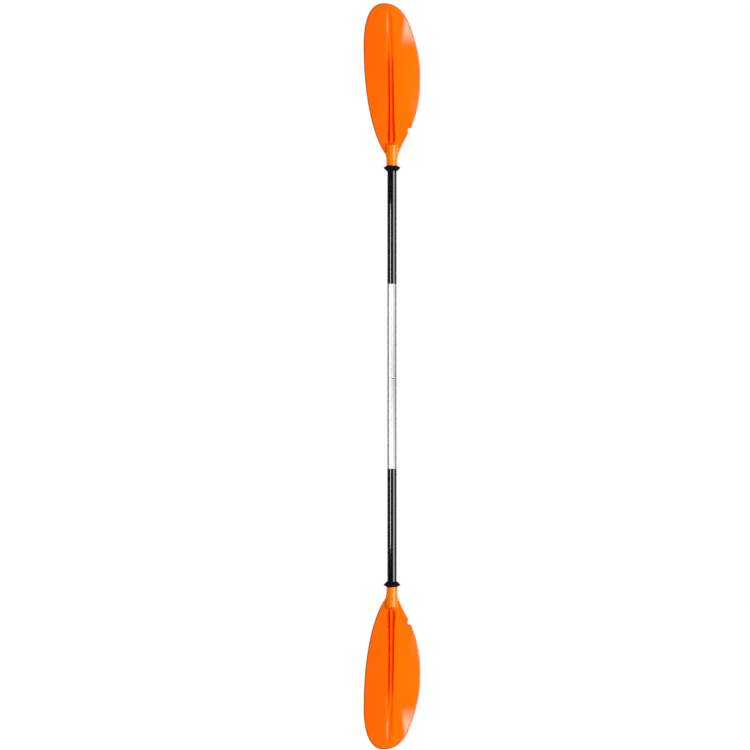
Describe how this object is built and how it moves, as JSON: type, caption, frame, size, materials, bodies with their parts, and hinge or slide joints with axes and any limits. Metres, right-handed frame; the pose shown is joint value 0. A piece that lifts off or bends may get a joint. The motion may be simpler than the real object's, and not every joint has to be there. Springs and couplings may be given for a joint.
{
  "type": "kayak paddle",
  "caption": "Double-bladed kayak paddle with asymmetric moulded blades, flared drip rings and a breakdown alloy shaft held by snap buttons, modelled standing upright.",
  "frame": {"origin": "on the shaft axis at mid length, the centre of the whole paddle's box", "axes": "+Z along the shaft towards the upper blade's tip, -Y out of the power faces, +X towards the blades' short edges"},
  "size_m": [0.1748, 0.0506, 2.3],
  "materials": {
    "blade_plastic": "satin",
    "black_tube": "satin",
    "shrink_wrap": "satin",
    "ring_rubber": "matte",
    "shaft_alloy": "satin",
    "ferrule_alloy": "satin",
    "spring_steel": "polished",
    "plug_foam": "matte"
  },
  "bodies": {
    "upper_shaft": {"upper_shaft_tube": "shaft_alloy", "upper_grip_wrap": "shrink_wrap", "upper_blade_ferrule": "ferrule_alloy", "upper_shaft_plug": "plug_foam"},
    "upper_snap": {"upper_snap_clip": "spring_steel"},
    "upper_blade_piece": {"upper_blade": "blade_plastic", "upper_blade_tube": "black_tube", "upper_blade_tube_wrap": "shrink_wrap", "upper_neck_plug": "plug_foam"},
    "upper_ring": {"upper_drip_ring": "ring_rubber"},
    "lower_core": {"lower_shaft_plug": "plug_foam"},
    "lower_shaft": {"lower_shaft_tube": "shaft_alloy", "lower_grip_wrap": "shrink_wrap", "lower_blade_ferrule": "ferrule_alloy", "centre_ferrule": "ferrule_alloy"},
    "centre_snap": {"centre_snap_clip": "spring_steel"},
    "lower_snap": {"lower_snap_clip": "spring_steel"},
    "lower_blade_piece": {"lower_blade": "blade_plastic", "lower_blade_tube": "black_tube", "lower_blade_tube_wrap": "shrink_wrap", "lower_neck_plug": "plug_foam"},
    "lower_ring": {"lower_drip_ring": "ring_rubber"}
  },
  "joints": [
    {"name": "upper_blade_pull", "type": "slide", "parent": "upper_shaft", "child": "upper_blade_piece", "axis": [0, 0, 1], "range_m": [0, 0.07]},
    {"name": "lower_blade_pull", "type": "slide", "parent": "lower_shaft", "child": "lower_blade_piece", "axis": [0, 0, -1], "range_m": [0, 0.07]},
    {"name": "shaft_pull", "type": "slide", "parent": "upper_shaft", "child": "lower_core", "axis": [0, 0, -1], "range_m": [0, 0.044]},
    {"name": "feather", "type": "hinge", "parent": "lower_core", "child": "lower_shaft", "pos_m": [0, 0, -0.015], "axis": [0, 0, 1], "range_deg": [-60, 60]},
    {"name": "upper_ring_slide", "type": "slide", "parent": "upper_blade_piece", "child": "upper_ring", "axis": [0, 0, 1], "range_m": [-0.06, 0]},
    {"name": "lower_ring_slide", "type": "slide", "parent": "lower_blade_piece", "child": "lower_ring", "axis": [0, 0, -1], "range_m": [-0.06, 0]},
    {"name": "upper_button_press", "type": "slide", "parent": "upper_shaft", "child": "upper_snap", "axis": [0, -1, 0], "range_m": [0, 0.004], "stiffness_N_per_m": 1500, "deforming": ["upper_snap_clip"]},
    {"name": "lower_button_press", "type": "slide", "parent": "lower_shaft", "child": "lower_snap", "axis": [0, -1, 0], "range_m": [0, 0.004], "stiffness_N_per_m": 1500, "deforming": ["lower_snap_clip"]},
    {"name": "centre_button_press", "type": "slide", "parent": "lower_shaft", "child": "centre_snap", "axis": [-0.2588, 0.9659, 0], "range_m": [0, 0.0038], "stiffness_N_per_m": 1500, "deforming": ["centre_snap_clip"]}
  ]
}
